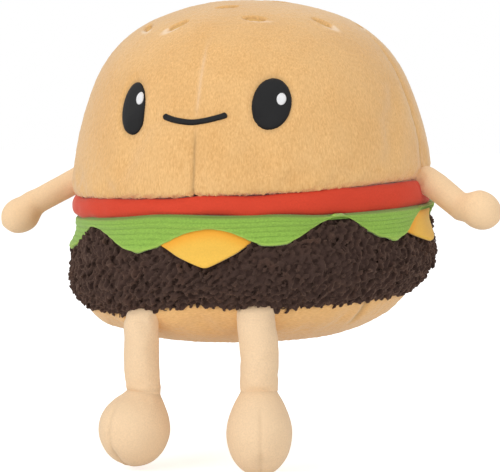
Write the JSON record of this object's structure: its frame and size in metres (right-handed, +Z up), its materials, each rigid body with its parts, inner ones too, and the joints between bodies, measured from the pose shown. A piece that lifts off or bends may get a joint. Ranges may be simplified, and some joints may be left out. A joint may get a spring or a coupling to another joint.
{
  "type": "stuffed toy hamburger",
  "caption": "Stuffed fabric hamburger doll: domed bun with a stitched smiling face, stacked cloth fillings, short arms and dangling legs that swing.",
  "frame": {"origin": "centre of the flat underside of the bottom bun, which the toy is seated on", "axes": "+Z up through the top of the bun, the face looks along -Y, +X to the toy's own left; the legs hang below z = 0 in front"},
  "size_m": [0.3188, 0.2297, 0.2677],
  "materials": {
    "bun_plush": "golden tan short-pile plush, soft matt with a light nap",
    "patty_sherpa": "dark brown curly sherpa, matt",
    "cheese_felt": "smooth yellow brushed fabric",
    "lettuce_ribbed": "leaf green ribbed cord, matt",
    "tomato_knit": "smooth red knit, slight sheen",
    "limb_minky": "pale peach short velour, soft matt",
    "black_thread": "black satin stitching",
    "white_thread": "white satin stitching",
    "cream_thread": "cream satin stitching",
    "fibrefill": "white fibrefill"
  },
  "bodies": {
    "body": {"bottom_bun": "bun_plush", "patty": "patty_sherpa", "cheese": "cheese_felt", "lettuce": "lettuce_ribbed", "tomato": "tomato_knit", "top_bun": "bun_plush", "body_stuffing": "fibrefill", "mouth": "black_thread", "sesame_seeds": "cream_thread", "left_eye": "black_thread", "right_eye": "black_thread", "left_eye_glint": "white_thread", "right_eye_glint": "white_thread"},
    "left_arm": {"left_arm_front": "limb_minky", "left_arm_back": "limb_minky", "left_arm_stuffing": "fibrefill"},
    "left_leg": {"left_leg_cover": "limb_minky", "left_leg_stuffing": "fibrefill"},
    "left_foot": {"left_foot_outer": "limb_minky", "left_foot_inner": "limb_minky", "left_foot_stuffing": "fibrefill"},
    "right_arm": {"right_arm_front": "limb_minky", "right_arm_back": "limb_minky", "right_arm_stuffing": "fibrefill"},
    "right_leg": {"right_leg_cover": "limb_minky", "right_leg_stuffing": "fibrefill"},
    "right_foot": {"right_foot_outer": "limb_minky", "right_foot_inner": "limb_minky", "right_foot_stuffing": "fibrefill"}
  },
  "joints": [
    {"name": "left_shoulder", "type": "hinge", "parent": "body", "child": "left_arm", "pos_m": [0.1038, 0, 0.08975], "axis": [0, -1, 0], "range_deg": [-20, 45], "stiffness_Nm_per_rad": 0.02},
    {"name": "right_shoulder", "type": "hinge", "parent": "body", "child": "right_arm", "pos_m": [-0.1038, 0, 0.08975], "axis": [0, 1, 0], "range_deg": [-20, 45], "stiffness_Nm_per_rad": 0.02},
    {"name": "left_hip", "type": "hinge", "parent": "body", "child": "left_leg", "pos_m": [0.03566, -0.091, 0.02148], "axis": [-0.9311, -0.3649, 0], "range_deg": [-10, 95]},
    {"name": "right_hip", "type": "hinge", "parent": "body", "child": "right_leg", "pos_m": [-0.03566, -0.091, 0.02148], "axis": [-0.9311, 0.3649, 0], "range_deg": [-10, 95]},
    {"name": "left_ankle", "type": "hinge", "parent": "left_leg", "child": "left_foot", "pos_m": [0.03566, -0.091, -0.02397], "axis": [-0.9311, -0.3649, 0], "range_deg": [-50, 45], "stiffness_Nm_per_rad": 0.02},
    {"name": "right_ankle", "type": "hinge", "parent": "right_leg", "child": "right_foot", "pos_m": [-0.03566, -0.091, -0.02397], "axis": [-0.9311, 0.3649, 0], "range_deg": [-50, 45], "stiffness_Nm_per_rad": 0.02}
  ]
}
